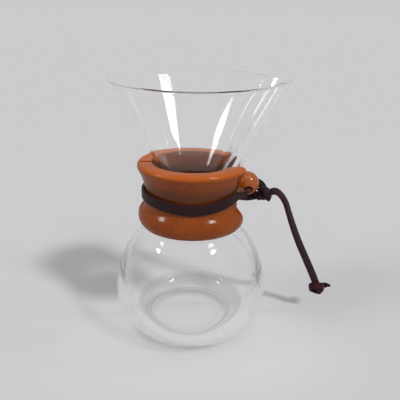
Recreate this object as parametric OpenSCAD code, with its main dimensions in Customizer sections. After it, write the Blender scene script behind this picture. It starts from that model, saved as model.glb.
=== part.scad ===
// Pour-over coffee maker: a one-piece glass vessel with a funnel, a pouring channel and a bowl,
// a turned wooden collar in two halves, and a leather strap that ties the halves together
// through a wooden bead. The axis of the glass is Z, the pouring channel points along +X
// and the collar is split in the plane Y = 0. Sizes are in millimetres and degrees.

/* [Glass vessel] */
// Height of the vessel
glass_h = 200; // [190:1:220]
// Outer radius of the rim
rim_r = 60.5; // [56:0.5:66]
// Thickness of the glass
wall = 2.4; // [1.6:0.1:3.2]
// Radius of the flared lip, on its outer side
lip_arc_r = 24; // [16:1:34]
// Slope of the lip at the rim, from vertical
lip_slope = 47.5; // [38:0.5:56]
// Outer radius of the neck
neck_r = 20.5; // [18:0.5:22]
// Length of the straight neck
neck_l = 7; // [4:0.5:10]
// Radius of the outer curves above and below the neck
neck_arc_r = 16; // [10:1:18]
// Slope of the shoulder, from vertical
shoulder_angle = 36.5; // [34:0.5:39]
// Outer radius of the bowl at its widest
belly_r = 58.5; // [56:0.5:62]
// Height of the widest part of the bowl
belly_z = 41; // [39:0.5:43]
// Radius of the bowl's outer curve
bowl_arc_r = 50; // [48:0.5:53]
// Radius of the outer curve between the bowl and the base
base_corner_r = 10; // [6:0.5:12]
// Thickness of the base at its edge
base_t = 3; // [2:0.1:5]
// Radius of the inner curve between the bowl and the floor
floor_corner_r = 8; // [5:0.5:10]
// Rise of the floor at its centre
floor_rise = 1.5; // [0.5:0.1:3]

/* [Pouring channel] */
// How far the channel stands out of the funnel
channel_depth = 11; // [8:0.5:13]
// Outer radius of the channel at the rim
channel_top_r = 24; // [20:0.5:27]
// Outer radius of the channel at the neck
channel_low_r = 10; // [8:0.5:11]

/* [Collar] */
// Height of the collar
collar_h = 48; // [45:0.5:52]
// Radius of the glass where the collar's lower edge sits
collar_foot_r = 33.7; // [32:0.1:35]
// Radius of the upper flange
flange_top_r = 41; // [39:0.2:45]
// Rounding of the upper flange
round_top = 3; // [2.5:0.5:5]
// Radius of the lower flange
flange_low_r = 40.4; // [38.4:0.2:44]
// Rounding of the lower flange
round_low = 5.6; // [4:0.2:7]
// Radius of the waist
waist_r = 35; // [33.4:0.2:36.4]
// Height of the waist above the collar's lower edge
waist_rise = 22; // [20:0.5:25]
// Clearance between the collar's mouth and the funnel
mouth_gap = 2.2; // [1:0.1:4]
// Clearance between the wood and the glass
collar_gap = 0.4; // [0.3:0.05:0.8]
// Clearance on each side of the pouring channel
opening_gap = 1.6; // [0.8:0.1:3]
// Width of the slit at the opposite side
slit_w = 3; // [1:0.1:4]

/* [Strap] */
// Width of the strap
strap_w = 7.4; // [5:0.2:9]
// Thickness of the strap
strap_t = 2.2; // [1.8:0.1:3]
// Bevel along the strap's edges
strap_bevel = 0.6; // [0.3:0.1:0.8]
// Clearance between the strap and the waist
strap_gap = 0.3; // [0.2:0.05:0.6]
// Angle from the pouring channel at which the strap leaves the collar
leave_angle = 43; // [36:1:50]
// Width that the strap is folded to inside the bead
folded_w = 4.4; // [3:0.1:4.8]
// Width of the hanging tail
tail_w = 6.4; // [4:0.2:8]
// Width of the tail's edge at the tie knot
root_w = 1.8; // [1.6:0.1:2.4]
// Clearance between the tail and the tie knot
root_gap = 0.7; // [0.6:0.1:0.9]
// Clearance between the two halves of the strap, and between the back strand and the tie knot
tie_gap = 0.5; // [0.3:0.1:0.8]

/* [Bead] */
// Radius of the bead
bead_r = 9; // [8:0.5:10]
// Radius of the hole through the bead
bead_hole_r = 3; // [2.8:0.1:3.6]
// Downward tilt of the hole at its front end
bead_tilt = 22; // [10:1:30]
// Distance of the bead outside the strap's own circle
bead_reach = 5; // [3:0.5:8]
// Height of the bead above the strap
bead_lift = 8.5; // [6:0.5:10]

/* [Knots] */
// Distance of the tie knot beyond the bead's centre
knot_reach = 14.5; // [13:0.5:18]
// Depth of the tie knot below the strap
knot_drop = 2; // [0:0.5:4]
// Sag of the back strand on its way to the tie knot
back_sag = 1.5; // [0:0.5:3]
// Radius of the tie knot's core
knot_r = 4.4; // [3.5:0.1:5]
// Depth of the middle of the turn round a knot under the knot's core
knot_sink = 0.9; // [0.5:0.1:1.4]
// Radius of the strand that makes the turn
knot_strand_r = 2; // [1.6:0.1:2.4]
// Length of the cut end that sticks out of the tie knot
tie_end_l = 3; // [2:0.5:6]
// Length of the cut end that sticks out of the end knot
tail_end_l = 6; // [4:0.5:10]
// Radius of the end knot's core
end_knot_r = 5; // [4:0.1:6]

/* [Hidden] */

// Fineness of the turned and round shapes
$fn = 96;
// Largest angle between two points of an arc
arc_step = 7;
// Room by which a cutting shape runs past what it cuts
over = 1;

wood_colour = "#a0561f";
bead_colour = "#a85f24";
leather_colour = "#2c1a1e";
glass_colour = "#dfe8e8";

function unit(v) = v / norm(v);
function polar(r, a) = [r * cos(a), r * sin(a)];

// Points of an arc from angle a0 to angle a1, ends included
function arc(centre, r, a0, a1, step = arc_step) =
    let (n = ceil(abs(a1 - a0) / step))
    [for (i = [0:n]) centre + polar(r, a0 + (a1 - a0) * i / n)];

// Outer lines of the glass: bowl, shoulder, neck, funnel and lip
bowl_c = [belly_r - bowl_arc_r, belly_z];
neck_c_r = neck_r + neck_arc_r;
neck_low_z = belly_z + (bowl_arc_r + neck_arc_r - (neck_c_r - bowl_c.x) * cos(shoulder_angle))
    / sin(shoulder_angle);
neck_top_z = neck_low_z + neck_l;
rim_c = [rim_r - wall / 2, glass_h - wall / 2];
lip_c = rim_c - polar(lip_arc_r + wall / 2, 180 - lip_slope);
// The funnel's straight side touches the curve above the neck and the lip's curve
neck_to_lip = lip_c - [neck_c_r, neck_top_z];
funnel_angle = 180 - atan2(neck_to_lip.y, neck_to_lip.x)
    - acos((neck_arc_r - lip_arc_r) / norm(neck_to_lip));
funnel_line = lip_c * polar(1, -funnel_angle) - lip_arc_r;

// Outer radius of the funnel's straight side at a height
function funnel_r(z) = (funnel_line + z * sin(funnel_angle)) / cos(funnel_angle);
// Height of the shoulder's straight side at an outer radius
function shoulder_z(r) =
    belly_z + (bowl_arc_r - (r - bowl_c.x) * cos(shoulder_angle)) / sin(shoulder_angle);

// Middle of the corner curve between the bowl, drawn in by an inset, and a flat floor
function corner_c(inset, floor_z, r) =
    let (reach = bowl_arc_r - inset - r, drop = belly_z - floor_z - r)
    [bowl_c.x + sqrt(reach * reach - drop * drop), floor_z + r];

// The glass from its base to the end of its lip, moved outwards by grow
function glass_side(grow, floor_z, corner_r) =
    let (
        corner = corner_c(-grow, floor_z, corner_r),
        corner_end = atan2(corner.y - bowl_c.y, corner.x - bowl_c.x)
    )
    concat(
        arc(corner, corner_r, -90, corner_end),
        arc(bowl_c, bowl_arc_r + grow, corner_end, shoulder_angle),
        arc([neck_c_r, neck_low_z], neck_arc_r - grow, 180 + shoulder_angle, 180),
        arc([neck_c_r, neck_top_z], neck_arc_r - grow, 180, 180 - funnel_angle),
        arc(lip_c, lip_arc_r - grow, 180 - funnel_angle, 180 - lip_slope)
    );

inner_side = glass_side(-wall, base_t, floor_corner_r);
floor_r = inner_side[0].x;
floor_steps = 8;
// The inside floor, from the axis to the corner curve
floor_line = [for (i = [0:floor_steps - 1])
    [floor_r * i / floor_steps, base_t + floor_rise * (1 + cos(180 * i / floor_steps)) / 2]];

function reversed(list) = [for (i = [len(list) - 1:-1:0]) list[i]];

module glass_wall() {
    rotate_extrude()
        polygon(concat(
            [[0, 0]],
            glass_side(0, 0, base_corner_r),
            arc(rim_c, wall / 2, -lip_slope, 180 - lip_slope),
            reversed(inner_side),
            reversed(floor_line)
        ));
}

module glass_inside() {
    top = glass_h + over;
    rotate_extrude()
        polygon(concat(floor_line, inner_side, [[inner_side[len(inner_side) - 1].x, top], [0, top]]));
}

// The channel is a cone whose outermost line runs beside the funnel's side. It starts below the
// neck, inside the shoulder, so that it fades out there.
channel_run = (glass_h - neck_low_z) / cos(funnel_angle);
channel_flare = asin((channel_top_r - channel_low_r) / channel_run);
channel_lean = funnel_angle - channel_flare;
channel_dip = neck_arc_r;
// Outer radius of the channel at a height
function channel_r(z) = channel_low_r + (z - neck_low_z) * tan(channel_flare) / cos(channel_lean);

// The channel, drawn in by an inset and cut level at a height
module channel_cone(inset, top) {
    length = channel_dip + channel_run + rim_r;
    neck_cone_r = channel_low_r - inset / cos(channel_flare);
    low_r = neck_cone_r - channel_dip * tan(channel_flare);
    edge = [funnel_r(neck_low_z) + channel_depth, neck_low_z];
    axis = edge - polar(channel_low_r, -channel_lean);
    intersection() {
        translate([axis.x, 0, axis.y])
            rotate([0, channel_lean, 0])
                translate([0, 0, -channel_dip])
                    cylinder(h = length, r1 = low_r, r2 = low_r + length * tan(channel_flare));
        translate([-rim_r, -rim_r, 0])
            cube([3 * rim_r, 2 * rim_r, top]);
    }
}

module glass_vessel() {
    color(glass_colour, 0.4)
        difference() {
            union() {
                glass_wall();
                difference() {
                    channel_cone(0, glass_h - wall / 2);
                    glass_inside();
                }
            }
            channel_cone(wall, glass_h + over);
        }
}

// Collar: two round flanges and a hollow waist, bored to the shape of the neck
collar_z = shoulder_z(collar_foot_r);
collar_top_z = collar_z + collar_h;
waist_z = collar_z + waist_rise;
mouth_r = funnel_r(collar_top_z) + mouth_gap;
opening_w = 2 * (channel_r(collar_top_z) + opening_gap);
top_c = [flange_top_r - round_top, collar_top_z - round_top];
low_c = [flange_low_r - round_low, collar_z + round_low];

// Radius of the hollow that runs from the waist into a flange's rounding
function hollow_r(c, r) =
    let (a = waist_r - c.x, b = waist_z - c.y)
    (a * a + b * b - r * r) / (2 * (r - a));
hollow_top_c = [waist_r + hollow_r(top_c, round_top), waist_z];
hollow_low_c = [waist_r + hollow_r(low_c, round_low), waist_z];
function heading(from, to) = atan2(to.y - from.y, to.x - from.x);

module collar_turning() {
    top_a = heading(top_c, hollow_top_c);
    low_a = heading(low_c, hollow_low_c);
    difference() {
        rotate_extrude()
            polygon(concat(
                [[0, collar_z]],
                arc(low_c, round_low, -90, low_a),
                arc(hollow_low_c, hollow_low_c.x - waist_r, 180 + low_a, 180),
                arc(hollow_top_c, hollow_top_c.x - waist_r, 180, 180 + top_a),
                arc(top_c, round_top, top_a, 90),
                [[0, collar_top_z]]
            ));
        rotate_extrude()
            polygon(concat(
                [[0, belly_z]],
                arc(bowl_c, bowl_arc_r + collar_gap, 0, shoulder_angle),
                arc([neck_c_r, neck_low_z], neck_arc_r - collar_gap, 180 + shoulder_angle, 180),
                [[neck_r + collar_gap, neck_top_z], [mouth_r, collar_top_z]],
                [[mouth_r, collar_top_z + over], [0, collar_top_z + over]]
            ));
    }
}

// One half of the collar; side is -1 for the front half and 1 for the back half
module collar_half(side) {
    reach = 2 * flange_top_r;
    difference() {
        collar_turning();
        translate([-reach, side > 0 ? slit_w / 2 - 2 * reach : -slit_w / 2, 0])
            cube([2 * reach, 2 * reach, glass_h]);
        translate([0, -opening_w / 2, 0])
            cube([reach, opening_w, glass_h]);
    }
}

module collar_front() {
    color(wood_colour)
        collar_half(-1);
}

module collar_back() {
    color(wood_colour)
        collar_half(1);
}

// Strap: a ring of eight corners at each point of a route
function strap_corners(w, t) =
    let (x = w / 2, y = t / 2, b = strap_bevel)
    [[x, y - b], [x - b, y], [b - x, y], [-x, y - b], [-x, b - y], [b - x, -y], [x - b, -y], [x, b - y]];

// Direction of a route at a point
function direction(route, i) =
    unit(route[min(i + 1, len(route) - 1)] - route[max(i - 1, 0)]);

// The corners of the strap at a point, with its width as close to side as it can lie
function strap_ring(route, i, side, w, t) =
    let (
        d = direction(route, i),
        a = unit(side - (side * d) * d),
        b = cross(d, a)
    )
    [for (q = strap_corners(w, t)) route[i] + q.x * a + q.y * b];

// A strap along a route, with a width direction, a width and a thickness at each point
module strap_run(route, sides, widths, thicknesses) {
    n = len(route);
    corners = len(strap_corners(1, 1));
    points = [for (i = [0:n - 1]) each strap_ring(route, i, sides[i], widths[i], thicknesses[i])];
    walls = [for (i = [0:n - 2], j = [0:corners - 1])
        let (k = (j + 1) % corners, p = i * corners, q = p + corners)
        each [[p + j, q + j, q + k], [p + j, q + k, p + k]]];
    last = (n - 1) * corners;
    ends = [for (j = [1:corners - 2]) each [[0, j, j + 1], [last, last + j + 1, last + j]]];
    polyhedron(points, concat(walls, ends));
}

up = [0, 0, 1];
back = [0, 1, 0];
strap_z = waist_z;
// Radius of the collar at the strap's edges, where the hollow is widest
strap_bed_r = let (r = hollow_low_c.x - waist_r) hollow_low_c.x - sqrt(r * r - strap_w * strap_w / 4);
// The strap is a chain of short straight lengths, whose middles come closest to the collar
wrap_step = 9;
wrap_r = (strap_bed_r + strap_gap) / cos(wrap_step / 2) + strap_t / 2;
// Half of the gap between the ends of the two strap halves, as an angle
seam_angle = asin(tie_gap / 2 / wrap_r);

// The strap round one half, from the slit to where it leaves the collar, as angles from +X
wrap_turn = 180 - seam_angle - leave_angle;
wrap_count = ceil(wrap_turn / wrap_step);
function wrap_points(side) = [for (i = [0:wrap_count])
    let (a = side * (180 - seam_angle - wrap_turn * i / wrap_count))
    [wrap_r * cos(a), wrap_r * sin(a), strap_z]];

bead_c = [wrap_r + bead_reach, 0, strap_z + bead_lift];
// Direction of the bead's hole, out of its front end
hole_dir = [0, -cos(bead_tilt), -sin(bead_tilt)];
knot_c = [bead_c.x + knot_reach, 0, strap_z - knot_drop];

// The front strand goes through the bead and curls down round it into the tie knot
front_start = wrap_points(-1)[wrap_count];
// How far the strand runs straight out of the bead, in front and behind
straight_front = 2;
straight_back = 0.5;
hole_front = bead_c + (bead_r + straight_front) * hole_dir;
hole_back = bead_c - (bead_r + straight_back) * hole_dir;
// Route of the strand behind the bead, from the back of the bead
curl_points = [[1.2, 1.6, -0.4], [4.5, 3, -3], [8.5, 2.6, -5.6], [12, 0.4, -7.4]];
front_lead = concat(
    [for (share = [0.35, 0.7, 1]) front_start + (hole_front - front_start) * share],
    [bead_c + bead_r / 2 * hole_dir, bead_c - bead_r / 2 * hole_dir, hole_back],
    [for (p = curl_points) hole_back + p],
    [knot_c + [0.1, 0.9, 0.5] * knot_r, knot_c]
);
// Share of the full width along the lead: the strap is folded inside the bead
front_lead_w = [0.9, 0.75, 0, 0, 0, 0, 0, 0.25, 0.4, 0.4, 0.3, 0];

module strap_front() {
    wrap = wrap_points(-1);
    route = concat(wrap, front_lead);
    widths = concat(
        [for (p = wrap) strap_w],
        [for (s = front_lead_w) folded_w + s * (strap_w - folded_w)]
    );
    color(leather_colour)
        strap_run(route, [for (p = route) up], widths, [for (p = route) strap_t]);
}

// The back strand hangs slack between the collar and the tie knot, and stops short of the knot
back_start = wrap_points(1)[wrap_count];
back_end = knot_c + (knot_r + tie_gap) * unit(back_start - knot_c);
back_lead_steps = 4;

module strap_back() {
    wrap = wrap_points(1);
    lead = [for (i = [1:back_lead_steps])
        back_start + (back_end - back_start) * i / back_lead_steps
        - up * back_sag * sin(180 * i / back_lead_steps)];
    route = concat(wrap, lead);
    widths = concat(
        [for (p = wrap) strap_w],
        [for (i = [1:back_lead_steps]) strap_w + (folded_w - strap_w) * i / back_lead_steps]
    );
    color(leather_colour)
        strap_run(route, [for (p = route) up], widths, [for (p = route) strap_t]);
}

module bead() {
    color(bead_colour)
        translate(bead_c)
            rotate([90 + bead_tilt, 0, 0])
                difference() {
                    sphere(r = bead_r);
                    cylinder(h = 2 * bead_r + 2 * over, r = bead_hole_r, center = true);
                }
}

// A round core with one turn of the strap about it; the turn's axis is X
knot_step = 18;
module knot_body(core_r) {
    turn_c = [core_r - knot_sink, 0];
    meet_x = (turn_c.x * turn_c.x + core_r * core_r - knot_strand_r * knot_strand_r) / (2 * turn_c.x);
    meet = [meet_x, sqrt(core_r * core_r - meet_x * meet_x)];
    core_a = heading([0, 0], meet);
    strand_a = heading(turn_c, meet);
    rotate([0, 90, 0])
        rotate_extrude()
            polygon(concat(
                arc([0, 0], core_r, -90, -core_a, knot_step),
                arc(turn_c, knot_strand_r, -strand_a, strand_a, knot_step),
                arc([0, 0], core_r, core_a, 90, knot_step)
            ));
}

// A cut end of strap along X, from the knot's middle to a reach
module cut_end(reach) {
    translate([0, -folded_w / 2, -strap_t / 2])
        cube([reach, folded_w, strap_t]);
}

// Slope of the tie knot's cut end, and its turn about Z
tie_end_dip = 42;
tie_end_turn = 200;

module tie_knot() {
    color(leather_colour)
        translate(knot_c) {
            knot_body(knot_r);
            rotate([0, tie_end_dip, tie_end_turn])
                cut_end(knot_r + tie_end_l);
        }
}

// Route of the hanging tail from the tie knot's centre: outwards, backwards and up
tail_points = [
    [6.2, 0, 3.6], [8.2, 0.1, 3.4], [10.3, 0.2, 2.3], [12.3, 0.4, 0.4], [14.6, 0.7, -2.5],
    [16.5, 1.1, -5.8], [18.2, 1.5, -9.6], [19.7, 1.9, -13.8], [21.3, 2.4, -18], [22.8, 2.9, -22],
    [25, 3.5, -27.5], [27.3, 4.2, -33.1], [29.9, 5, -39.1], [32.8, 5.9, -45.4], [36.2, 6.8, -52.3],
    [40, 7.9, -60], [43.9, 9, -67.9], [46.9, 9.9, -74.1], [49.4, 10.7, -79.7], [50.8, 11.2, -83.3]
];
// Middle of the end knot from the tie knot's centre
end_knot_offset = [52.4, 11.6, -86.6];
// Turn of the strap about its own length, at the tie knot and at the lower end of the tail
tail_turn = [16, 58];
// Slope at which the tail leaves the tie knot
tail_rise = 30;

// The tail starts on a narrow edge, so that it can swing beside the knot
tail_root = knot_c + (knot_r + root_gap) * [cos(tail_rise), 0, sin(tail_rise)];
tail_route = concat([tail_root], [for (p = tail_points) knot_c + p]);

module strap_tail() {
    n = len(tail_route);
    sides = [for (i = [0:n - 1])
        let (a = tail_turn[0] + (tail_turn[1] - tail_turn[0]) * i / (n - 1))
        cos(a) * back + sin(a) * cross(direction(tail_route, i), back)];
    widths = concat([root_w, folded_w], [for (i = [2:n - 1]) tail_w]);
    thicknesses = concat([root_w], [for (i = [1:n - 1]) strap_t]);
    color(leather_colour)
        strap_run(tail_route, sides, widths, thicknesses);
}

// Turn of the end knot about Y, and slope of its cut end
end_knot_turn = 70;
end_knot_dip = 5;

module end_knot() {
    color(leather_colour)
        translate(knot_c + end_knot_offset) {
            rotate([0, end_knot_turn, 0])
                knot_body(end_knot_r);
            rotate([0, end_knot_dip, 0])
                cut_end(end_knot_r + tail_end_l);
        }
}

glass_vessel();
collar_front();
collar_back();
strap_front();
strap_back();
bead();
tie_knot();
strap_tail();
end_knot();
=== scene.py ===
import math

import bpy
from mathutils import Matrix, Vector


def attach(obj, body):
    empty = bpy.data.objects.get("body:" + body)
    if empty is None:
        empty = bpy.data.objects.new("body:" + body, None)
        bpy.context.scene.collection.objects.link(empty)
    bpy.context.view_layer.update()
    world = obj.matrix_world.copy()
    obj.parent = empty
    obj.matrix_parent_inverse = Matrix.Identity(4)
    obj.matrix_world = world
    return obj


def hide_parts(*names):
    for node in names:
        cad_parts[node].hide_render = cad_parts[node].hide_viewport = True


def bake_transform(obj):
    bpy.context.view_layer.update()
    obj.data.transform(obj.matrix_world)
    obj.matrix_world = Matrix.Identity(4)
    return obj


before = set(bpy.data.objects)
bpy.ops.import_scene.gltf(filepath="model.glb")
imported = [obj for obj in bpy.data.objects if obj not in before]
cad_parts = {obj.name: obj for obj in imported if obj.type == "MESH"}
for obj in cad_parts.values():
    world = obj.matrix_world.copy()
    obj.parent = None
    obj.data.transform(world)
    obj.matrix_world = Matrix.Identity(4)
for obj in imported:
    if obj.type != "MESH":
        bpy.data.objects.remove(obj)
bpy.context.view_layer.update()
print("frame loaded with", len(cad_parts), "nodes")

mm = 0.001  # sizes below are in millimetres


# small helpers
def toLinear(hexColour):
    shares = [int(hexColour[i:i + 2], 16) / 255 for i in (1, 3, 5)]
    return [c / 12.92 if c <= 0.04045 else ((c + 0.055) / 1.055) ** 2.4 for c in shares] + [1.0]


def addNode(tree, kind, settings=None, links=None):
    node = tree.nodes.new(kind)
    for key, value in (settings or {}).items():
        if isinstance(key, int) or key in node.inputs:
            node.inputs[key].default_value = value
        else:
            setattr(node, key, value)
    for key, socket in (links or {}).items():
        tree.links.new(socket, node.inputs[key])
    return node


def newMaterial(name):
    material = bpy.data.materials.new(name)
    material.use_nodes = True
    tree = material.node_tree
    return material, tree, tree.nodes["Principled BSDF"]


def setSockets(node, values):
    for key, value in values.items():
        node.inputs[key].default_value = value


def deselectAll():
    bpy.ops.object.select_all(action="DESELECT")


def namePiece(name):
    piece = bpy.context.object
    piece.name = name
    piece.data.name = name
    return piece


def editAll():
    bpy.ops.object.mode_set(mode="EDIT")
    bpy.ops.mesh.select_all(action="SELECT")


def closeSeams(gap=1e-6):
    bpy.ops.mesh.select_all(action="SELECT")
    bpy.ops.mesh.remove_doubles(threshold=gap)
    bpy.ops.mesh.normals_make_consistent(inside=False)


def objectMode():
    bpy.ops.object.mode_set(mode="OBJECT")


def turnOnLathe(steps, angle=2 * math.pi):
    bpy.ops.mesh.select_all(action="SELECT")
    bpy.ops.mesh.spin(steps=steps, angle=angle, center=(0, 0, 0), axis=(0, 0, 1))


def finishPiece(piece, body, slot, *nodes):
    if body:
        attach(piece, body)
    if nodes:
        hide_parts(*nodes)
    print("made", piece.name, "with", len(piece.data.polygons), "faces")


def polar(radius, degrees):
    return Vector((radius * math.cos(math.radians(degrees)), radius * math.sin(math.radians(degrees))))


def arcPoints(centre, radius, start, end, step=4.0):
    count = max(1, math.ceil(abs(end - start) / step))
    return [Vector(centre) + polar(radius, start + (end - start) * i / count) for i in range(count + 1)]


def mixed(a, b, share):
    return a + (b - a) * share


def drawLine(name, points):
    # one vertex, extruded along a line in the XZ plane
    deselectAll()
    bpy.ops.mesh.primitive_plane_add(size=mm)
    piece = namePiece(name)
    editAll()
    bpy.ops.mesh.merge(type="CENTER")
    last = Vector((0.0, 0.0))
    first = True
    for point in points:
        step = ((point.x - last.x) * mm, 0, (point.y - last.y) * mm)
        if first:
            bpy.ops.transform.translate(value=step)
        else:
            bpy.ops.mesh.extrude_region_move(TRANSFORM_OT_translate={"value": step})
        first = False
        last = point
    return piece


# camera, at the photograph's place
cameraLook = {
    "place": (-28.3, -384.1, 249.7),
    "pan": -5.14,
    "tilt": -20.17,
    "roll": 1.226,
    "lens": 48.55,  # on a 36 mm sensor
}


def setCamera():
    data = bpy.data.cameras.new("photo_camera")
    data.sensor_width = 36
    data.lens = cameraLook["lens"]
    data.clip_start = 0.01
    data.clip_end = 100
    camera = bpy.data.objects.new("photo_camera", data)
    bpy.context.scene.collection.objects.link(camera)
    turn = (
        Matrix.Rotation(math.radians(cameraLook["pan"]), 4, "Z")
        @ Matrix.Rotation(math.radians(90 + cameraLook["tilt"]), 4, "X")
        @ Matrix.Rotation(math.radians(cameraLook["roll"]), 4, "Z")
    )
    camera.matrix_world = Matrix.Translation(Vector(cameraLook["place"]) * mm) @ turn
    bpy.context.scene.camera = camera


setCamera()
print("camera set")

# vegetable-tanned leather, dyed nearly black: a matt face with a fine pebble grain, burnished
# red-brown edges where it was cut, and a paler suede back
leatherLook = {
    "grain": "#1E0F12",
    "grainWorn": "#2C171B",
    "edge": "#54262C",
    "back": "#63493F",
    "knotShade": "#150A0E",  # painted shade: darker leather for the end knot, for the knot's own shadow
    "knotShadeEdge": "#3A1A20",
    "pebble": 0.55,  # mm between pebbles, coarser than the real grain so that it shows
    "pebbleDepth": 0.12,  # mm
    "scuff": 6.0,  # mm across a worn patch
    "scuffShine": (-0.08, 0.1),  # how much a worn patch smooths or roughens the face
    "specular": 0.15,
}


def makeLeather(name, dark, light, roughness):
    material, tree, shader = newMaterial(name)
    smoother, rougher = leatherLook["scuffShine"]
    place = addNode(tree, "ShaderNodeTexCoord").outputs["Object"]
    scuffs = addNode(tree, "ShaderNodeTexNoise",
                     {"Scale": 1 / (leatherLook["scuff"] * mm), "Detail": 5.0, "Roughness": 0.6},
                     {"Vector": place})
    pebbles = addNode(tree, "ShaderNodeTexVoronoi",
                      {"feature": "SMOOTH_F1", "Scale": 1 / (leatherLook["pebble"] * mm)},
                      {"Vector": place})
    colour = addNode(tree, "ShaderNodeMix",
                     {"data_type": "RGBA", 6: toLinear(dark), 7: toLinear(light)},
                     {0: scuffs.outputs["Fac"]})
    shine = addNode(tree, "ShaderNodeMapRange",
                    {"From Min": 0.3, "From Max": 0.7, "To Min": roughness + smoother,
                     "To Max": roughness + rougher},
                    {"Value": scuffs.outputs["Fac"]})
    bumps = addNode(tree, "ShaderNodeBump",
                    {"Strength": 0.35, "Distance": leatherLook["pebbleDepth"] * mm, "invert": True},
                    {"Height": pebbles.outputs["Distance"]})
    tree.links.new(colour.outputs[2], shader.inputs["Base Color"])
    tree.links.new(shine.outputs["Result"], shader.inputs["Roughness"])
    tree.links.new(bumps.outputs["Normal"], shader.inputs["Normal"])
    setSockets(shader, {"IOR": 1.5, "Specular IOR Level": leatherLook["specular"]})
    return material


leatherSkins = [
    makeLeather("dyed_leather_grain_side", leatherLook["grain"], leatherLook["grainWorn"], 0.5),
    makeLeather("dyed_leather_cut_edge", leatherLook["edge"], leatherLook["grain"], 0.55),
    makeLeather("dyed_leather_suede_back", leatherLook["back"], leatherLook["grainWorn"], 0.8),
]
# painted shade: the end knot's leather is darker than the strap's
knotShadeSkins = [
    makeLeather("dyed_leather_knot_painted_shade", leatherLook["knotShade"], leatherLook["grain"], 0.5),
    makeLeather("dyed_leather_knot_edge_painted_shade", leatherLook["knotShadeEdge"], leatherLook["knotShade"], 0.55),
    makeLeather("dyed_leather_knot_back_painted_shade", leatherLook["knotShade"], leatherLook["edge"], 0.6),
]


def smoothLine(points, steps):
    # a Catmull-Rom line through listed points
    ends = [2 * points[0] - points[1], *points, 2 * points[-1] - points[-2]]
    line = []
    for i in range(len(points) - 1):
        a, b, c, d = ends[i:i + 4]
        for k in range(steps):
            t = k / steps
            line.append(0.5 * (2 * b + (c - a) * t + (2 * a - 5 * b + 4 * c - d) * t * t
                               + (3 * b - a - 3 * c + d) * t ** 3))
    return line + [points[-1]]


def headingAt(route, i):
    return (route[min(i + 1, len(route) - 1)] - route[max(i - 1, 0)]).normalized()


upward = Vector((0, 0, 1))
backward = Vector((0, 1, 0))
strapCut = {
    "corner": 0.75, "cornerSteps": 4,  # rounding of the edges, in mm and in steps
    "most": 0.45,  # of the thickness or width that the rounding may take
    "edgeFacing": 0.45,  # faces turned further than this from the broad sides show the cut
}


def strapSection(width, thickness):
    corner = min(strapCut["corner"], strapCut["most"] * thickness, strapCut["most"] * width)
    x, y = width / 2 - corner, thickness / 2 - corner
    step = 90 / strapCut["cornerSteps"]
    section = []
    for centre, start in (((x, y), 0), ((-x, y), 90), ((-x, -y), 180), ((x, -y), 270)):
        section += arcPoints(centre, corner, start, start + 90, step)
    return section


def strapAxes(route, sides, i):
    # across the strap, and out of its broad face
    ahead = headingAt(route, i)
    across = (sides[i] - sides[i].dot(ahead) * ahead).normalized()
    return across, ahead.cross(across)


def layStrap(name, route, sides, widths, thickness, skins=leatherSkins):
    # a flat grid, rolled into a strap along a route in millimetres
    around = len(strapSection(1, 1))
    along = len(route) - 1
    deselectAll()
    bpy.ops.mesh.primitive_grid_add(x_subdivisions=along, y_subdivisions=around, size=1)
    strap = namePiece(name)
    rings = []
    for i, point in enumerate(route):
        across, outward = strapAxes(route, sides, i)
        rings.append([point + q.x * across + q.y * outward for q in strapSection(widths[i], thickness)])
    for vertex in strap.data.vertices:
        i = round((vertex.co.x + 0.5) * along)
        j = round((vertex.co.y + 0.5) * around) % around
        vertex.co = rings[i][j] * mm
    editAll()
    bpy.ops.mesh.remove_doubles(threshold=1e-7)
    bpy.ops.mesh.fill_holes(sides=0)
    closeSeams(1e-7)
    objectMode()
    bpy.ops.object.shade_smooth_by_angle(angle=math.radians(50))
    for skin in skins:
        strap.data.materials.append(skin)
    paintStrap(strap, route, sides)
    return strap


def paintStrap(strap, route, sides):
    # the narrow faces show the cut, and one broad face shows the back of the hide
    for face in strap.data.polygons:
        middle = face.center / mm
        i = min(range(len(route)), key=lambda k: (route[k] - middle).length_squared)
        across, outward = strapAxes(route, sides, i)
        facing = face.normal.dot(outward)
        if abs(facing) < strapCut["edgeFacing"]:
            face.material_index = 1
        elif facing < 0:
            face.material_index = 2


# the tie knot's centre and the points that hang from it follow the solid model's route
knotCentre = Vector((56.323, 0, 111.003))

tailLook = {
    # from the knot's centre: outwards, backwards and up
    "route": [
        (2.4, 0, 1.2), (4.2, 0, 2.7), (6.2, 0, 3.6), (8.2, 0.1, 3.4), (10.3, 0.2, 2.3), (12.3, 0.4, 0.4),
        (14.6, 0.7, -2.5), (16.5, 1.1, -5.8), (18.2, 1.5, -9.6), (19.7, 1.9, -13.8), (21.3, 2.4, -18),
        (22.8, 2.9, -22), (25, 3.5, -27.5), (27.3, 4.2, -33.1), (29.9, 5, -39.1), (32.8, 5.9, -45.4),
        (36.2, 6.8, -52.3), (40, 7.9, -60), (43.9, 9, -67.9), (46.9, 9.9, -74.1), (49.4, 10.7, -79.7),
        (50.8, 11.2, -83.3),
    ],
    "width": 6.4,
    "rootWidth": 5.0,
    "rootRings": 12,  # rings over which it widens below the knot
    "thickness": 2.6,
    "turn": (18, 60),  # degrees about its own length, at the knot and at the lower end
    "steps": 5,
}


def makeTail():
    route = smoothLine([knotCentre + Vector(p) for p in tailLook["route"]], tailLook["steps"])
    count = len(route) - 1
    sides = []
    for i in range(count + 1):
        turn = math.radians(mixed(*tailLook["turn"], i / count))
        sides.append(backward * math.cos(turn) + headingAt(route, i).cross(backward) * math.sin(turn))
    widths = [mixed(tailLook["rootWidth"], tailLook["width"], min(1, i / tailLook["rootRings"]))
              for i in range(count + 1)]
    tail = layStrap("hanging_tail", route, sides, widths, tailLook["thickness"])
    finishPiece(tail, "tail", "leather", "strap_tail")
    return tail, [point * mm for point in route]


tailPiece, tailPath = makeTail()

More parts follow.
